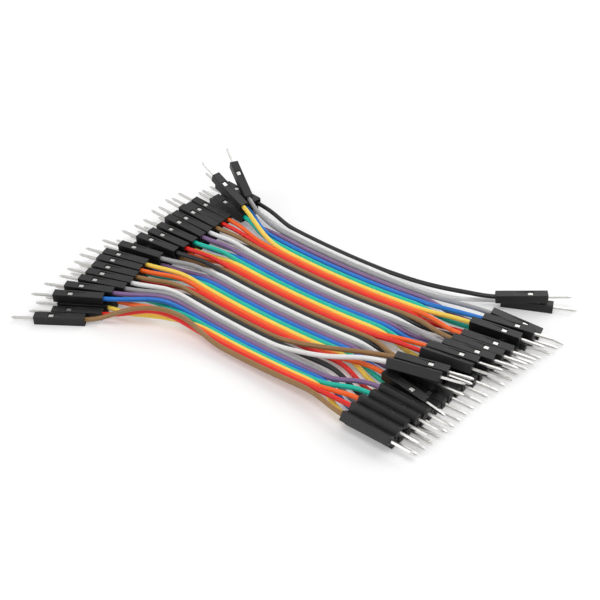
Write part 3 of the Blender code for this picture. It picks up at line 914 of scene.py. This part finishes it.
@dataclass
class CrimpHousing:
    """One way crimp housing, mm."""

    length: float = 14.0
    half: float = 1.27
    corner: float = 0.11
    cavity_half: float = 0.92
    cavity_depth: float = 3.2
    mouth_half: float = 0.45
    mouth_depth: float = 0.9
    tongue_start: float = 5.1
    window: Span = (8.6, 10.1)
    tongue_drop: float = 0.17
    window_depth: float = 0.80
    window_wall: float = 0.04
    tongue_step: Span = (0.08, 0.05)
    cavity_corner: float = 0.08
    cavity_lip: Span = (0.08, 0.07)
    mouth_corner: float = 0.05
    mouth_lip: Span = (0.07, 0.07)
    rim: tuple[Point, ...] = ((0.0, 0.09, 0.09), (0.03, 0.025, 0.11), (0.10, 0.0, 0.11))
    section: SquareSection = field(default_factory=SquareSection)

    def rim_stations(self, x: float, inward: float) -> list[Station]:
        """Rounded rim at x, from its face inwards; inward is the sign of X into the housing."""
        return [(x + inward * depth, self.half - inset, corner, 0.0) for depth, inset, corner in self.rim]

    def stations(self) -> list[Station]:
        """Profile from the bottom of the rear cavity, over the outside, to the bottom of the pin's mouth.

        Returns:
            Stations for the sweep of the section.
        """
        start, end = self.window
        step, step_drop = self.tongue_step
        (lip_depth, lip), (mouth_lip_depth, mouth_lip) = self.cavity_lip, self.mouth_lip
        rear = [
            (self.cavity_depth, self.cavity_half, self.cavity_corner, 0.0),
            (lip_depth, self.cavity_half, self.cavity_corner, 0.0),
            (0.0, self.cavity_half + lip, self.cavity_corner, 0.0),
        ]
        drops = [
            (self.tongue_start - step, 0.0), (self.tongue_start, step_drop),
            (start - self.window_wall, self.tongue_drop), (start, self.window_depth),
            (end, self.window_depth), (end + self.window_wall, 0.0),
        ]
        latch = [(x, self.half, self.corner, drop) for x, drop in drops]
        front = [
            (self.length, self.mouth_half + mouth_lip, self.mouth_corner, 0.0),
            (self.length - mouth_lip_depth, self.mouth_half, self.mouth_corner, 0.0),
            (self.length - self.mouth_depth, self.mouth_half, self.mouth_corner, 0.0),
        ]
        outside = self.rim_stations(0.0, 1.0) + latch + self.rim_stations(self.length, -1.0)[::-1]
        return rear + outside + front

    def mesh(self, seat: Seat) -> bpy.types.Mesh:
        """Mesh of the housing in its seat."""
        rings, uv = self.section.sweep(self.stations())
        return grid_mesh("housing", seat.place(rings), uv, smooth=False)


@dataclass
class CrimpContact:
    """Crimp contact with its pin, mm from the housing's rear face."""

    barrel: Pairs = ((3.6, 0.42), (3.8, 0.55), (6.3, 0.55))
    barrel_corner: float = 0.20
    body: Span = (6.6, 11.2)
    body_half: float = 0.65
    body_corner: float = 0.08
    lance: Point = (8.68, 9.95, 0.36)
    lance_wall: float = 0.05
    pin: Span = (11.7, 20.4)
    pin_half: float = 0.32
    pin_corner: float = 0.04
    taper: float = 0.9
    tip_half: float = 0.15
    tip_corner: float = 0.05
    tip_round: Span = (0.12, 0.03)
    grip: Station = (1.2, 3.0, 0.70, 0.85)
    grip_sides: int = 16
    grip_run: float = 2.0
    section: SquareSection = field(default_factory=lambda: SquareSection((-0.97, -0.93, 0.93, 0.97), 2))

    def stations(self) -> list[Station]:
        """Profile from the conductor grip to the tip of the pin, with the lance raised on the body.

        Returns:
            Stations for the sweep of the section.
        """
        start, end, rise = self.lance
        root, tip = self.pin
        back, more = self.tip_round
        heights = [
            (self.body[0], 0.0), (start - self.lance_wall, 0.0), (start, rise), (end, rise),
            (end + self.lance_wall, 0.0), (self.body[1], 0.0),
        ]
        barrel = [(x, half, self.barrel_corner, 0.0) for x, half in self.barrel]
        body = [(x, self.body_half, self.body_corner, -height) for x, height in heights]
        pin = [
            (root, self.pin_half, self.pin_corner, 0.0),
            (tip - self.taper, self.pin_half, self.pin_corner, 0.0),
            (tip - back, self.tip_half + more, self.pin_corner, 0.0),
            (tip, self.tip_half, self.tip_corner, 0.0),
        ]
        return barrel + body + pin

    def sleeve(self) -> tuple[np.ndarray, np.ndarray]:
        """Insulation grip: a round sleeve, outside from rear to front and inside back again.

        At angle a, a point lies at x, the radius times the cosine of a, and the radius times its sine.

        Returns:
            The rings, and a UV pair for each point: mm along the profile, and the share of the way round.
        """
        start, end, inner, outer = self.grip
        turn = np.linspace(0, 2 * math.pi, self.grip_sides, endpoint=False)
        x = np.array([start, end, end, start])[:, None]
        radius = np.array([outer, outer, inner, inner])[:, None]
        rings = np.stack(np.broadcast_arrays(x, radius * np.cos(turn), radius * np.sin(turn)), axis=-1)
        run = np.arange(len(x)) * self.grip_run
        return rings, np.stack(np.meshgrid(run, turn / (2 * math.pi), indexing="ij"), axis=-1)

    def mesh(self, seat: Seat) -> bpy.types.Mesh:
        """Mesh of the contact: grip sleeve, and barrel, body and pin.

        Args:
            seat: Seat of its housing.

        Returns:
            The mesh, in place.
        """
        rings, uv = self.section.sweep(self.stations())
        sleeve, sleeve_uv = self.sleeve()
        return merged_mesh("contact", [
            grid_mesh("pin", seat.place(rings), uv, smooth=False),
            grid_mesh("sleeve", seat.place(sleeve), sleeve_uv, smooth=False, looped=True),
        ])


@dataclass
class InsulatedLead:
    """One PVC insulated lead of the ribbon, mm."""

    diameter: float = 1.30
    bonded_half: float = 0.668
    bonded_power: float = 2.7
    round_power: float = 2.0
    fade: float = 4.0
    sides: int = 20
    entry: float = 3.0

    def mesh(self, line: np.ndarray, splits: Span) -> bpy.types.Mesh:
        """Mesh of a lead along its centre line.

        The section is a superellipse: each coordinate is the half width times the sign of the circle's own
        coordinate times its size to the power of two over n. In the bonded stretch n is a little over 2 and
        the half width a little over the radius, which brings each lead up against its neighbours. Past the
        splits both fall back to the round wire's over a few millimetres.

        Args:
            line: Centre line, metres.
            splits: X at which the lead leaves the bonded stretch at each end, metres.

        Returns:
            The new mesh.
        """
        sideways, upward = line_frames(line)
        turn = np.linspace(0, 2 * math.pi, self.sides, endpoint=False)
        depth = np.stack([line[:, 0] - splits[0], splits[1] - line[:, 0]]) / (self.fade * MM)
        bonded = np.clip(depth, 0, 1).prod(axis=0)[:, None]
        power = self.round_power + (self.bonded_power - self.round_power) * bonded
        half = (self.diameter / 2 + (self.bonded_half - self.diameter / 2) * bonded) * MM
        waves = np.stack([np.cos(turn), np.sin(turn)])[:, None]
        across, up = half * np.sign(waves) * np.abs(waves) ** (2 / power)
        rings = line[:, None] + across[..., None] * sideways[:, None] + up[..., None] * upward[:, None]
        run = np.concatenate([[0.0], np.cumsum(np.linalg.norm(np.diff(line, axis=0), axis=1))]) / MM
        uv = np.stack(np.meshgrid(run, turn / (2 * math.pi), indexing="ij"), axis=-1)
        return grid_mesh("lead", rings, uv, smooth=True)


@dataclass
class JumperRibbon:
    """The whole ribbon: forty leads, eighty housings and eighty contacts."""

    finishes: Finishes
    layout: RibbonLayout = field(default_factory=RibbonLayout)
    housing: CrimpHousing = field(default_factory=CrimpHousing)
    contact: CrimpContact = field(default_factory=CrimpContact)
    wire: InsulatedLead = field(default_factory=InsulatedLead)
    taken_apart: tuple[int, ...] = (1, 2, 32, 40)
    path_step: float = 2.4

    def build_lead(self, lead: int) -> None:
        """Args:
            lead: Number of the lead.
        """
        colour = Insulation.of_lead(lead)
        apart = lead in self.taken_apart
        whole = f"jumper_{lead:02d}_{colour.value}"
        line = self.layout.route(lead, self.wire.entry)
        mesh = self.wire.mesh(line, self.layout.split_ends(lead))
        own = f"lead_{lead:02d}_{colour.value}" if apart else whole
        name = f"insulated_lead_{lead:02d}_{colour.value}"
        finish = self.finishes.made
        piece = finished_piece(name, mesh, finish[colour.value], f"{colour.value}_insulation", own)
        carried = []
        for side in Side:
            seat = self.layout.seat(side, lead)
            tag = f"{lead:02d}_{side.value}"
            shell = finished_piece(
                f"crimp_housing_{tag}", self.housing.mesh(seat), finish["housing"], "housing_plastic",
                f"housing_{tag}" if apart else whole,
            )
            pin = finished_piece(
                f"pin_contact_{tag}", self.contact.mesh(seat), finish["contact"], "contact_metal",
                f"contact_{tag}" if apart else whole,
            )
            carried += [shell, pin]

    def build(self) -> None:
        """Builds every lead from the back to the front."""
        for lead in range(1, self.layout.leads + 1):
            self.build_lead(lead)


@dataclass(frozen=True)
class AreaLamp:
    """Area lamp that looks at the ribbon: place and size of its face in metres, power in watts."""

    name: str
    place: Point
    size: Span
    power: float

    def build(self) -> None:
        """Makes the lamp and turns it to the origin."""
        data = bpy.data.lights.new(self.name, "AREA")
        data.shape, data.size, data.size_y, data.energy = "RECTANGLE", *self.size, self.power
        lamp = linked_object(self.name, data)
        lamp.location = self.place
        lamp.rotation_mode = "QUATERNION"
        lamp.rotation_quaternion = (-Vector(self.place)).to_track_quat("-Z", "Y")


@dataclass
class Studio:
    """White table, soft lamps and the camera, metres."""

    camera_place: Point = (0.152006, -0.184813, 0.195774)
    camera_aim: Point = (-0.002924, 0.006778, 0.0)
    camera_roll: float = -1.056
    lens: float = 68.41
    sensor: float = 36.0
    camera_range: Span = (0.01, 20.0)
    table_size: float = 6.0
    table_white: float = 0.88
    camera_white: float = 0.21
    far_white: float = 0.55
    far_reach: Span = (0.25, 1.30)
    world_light: float = 0.40
    lamps: tuple[AreaLamp, ...] = (
        AreaLamp("back_lamp", (0.22, 0.72, 0.62), (1.15, 1.05), 6.0),
        AreaLamp("top_lamp", (0.12, -0.28, 0.80), (0.40, 0.25), 1.6),
        AreaLamp("side_lamp", (-0.42, -0.66, 0.36), (0.75, 0.50), 1.7),
    )

    def place_camera(self) -> None:
        """Camera at the angle from which the ribbon is pictured."""
        data = bpy.data.cameras.new("camera")
        data.lens, data.sensor_width = self.lens, self.sensor
        data.clip_start, data.clip_end = self.camera_range
        camera = linked_object("camera", data)
        aim = Vector(self.camera_aim) - Vector(self.camera_place)
        roll = Matrix.Rotation(math.radians(self.camera_roll), 3, "Z")
        camera.rotation_mode = "QUATERNION"
        camera.location = self.camera_place
        camera.rotation_quaternion = (aim.to_track_quat("-Z", "Y").to_matrix() @ roll).to_quaternion()
        bpy.context.scene.camera = camera

    def lay_table(self) -> None:
        """White table that shows a little lighter than it is and keeps the ribbon's shadow.

        Where it is seen, it glows by camera_white, and by far_white more as the distance from the origin
        passes through far_reach. It gives none of this as light.
        """
        corners = np.array([(-1, -1, 0), (1, -1, 0), (1, 1, 0), (-1, 1, 0)]) * self.table_size / 2
        mesh = bpy.data.meshes.new("table")
        mesh.from_pydata(corners.tolist(), [], [(0, 1, 2, 3)])
        table = linked_object("table", mesh)
        graph = Graph.of_material("table_white")
        reach = graph.node("ShaderNodeVectorMath", {"operation": "LENGTH"}, {0: graph.place()}, "Value")
        far = reach.ramp(*self.far_reach)
        diffuse = graph.node("ShaderNodeBsdfDiffuse", values={"Color": (self.table_white,) * 3 + (1.0,)})
        strength = graph.seen() * (far * self.far_white + self.camera_white)
        glow = graph.node("ShaderNodeEmission", values={"Strength": strength})
        both = graph.node("ShaderNodeAddShader", values={0: diffuse, 1: glow})
        output = next(node for node in graph.tree.nodes if node.type == "OUTPUT_MATERIAL")
        graph.feed(output.inputs["Surface"], both)
        mesh.materials.append(graph.owner)

    def light(self) -> None:
        """Large lamp behind, small ones above and at the front left, and a world white where it is seen."""
        for lamp in self.lamps:
            lamp.build()
        world = bpy.data.worlds.new("studio")
        bpy.context.scene.world = world
        sky = Graph(world, "Background")
        glare = sky.seen() * (1.0 - self.world_light) + self.world_light
        sky.surface(Color=(1.0, 1.0, 1.0, 1.0), Strength=glare)
        bpy.context.scene.view_settings.view_transform = "Standard"

    def build(self) -> None:
        """Sets up the camera, table and lamps."""
        self.place_camera()
        self.lay_table()
        self.light()


def main() -> None:
    """Builds the studio and the ribbon in order."""
    logging.basicConfig(level=logging.INFO, format="%(name)s %(message)s")
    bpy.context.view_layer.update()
    Studio().build()
    finishes = Finishes()
    finishes.build()
    JumperRibbon(finishes).build()


if __name__ == "__main__":
    main()
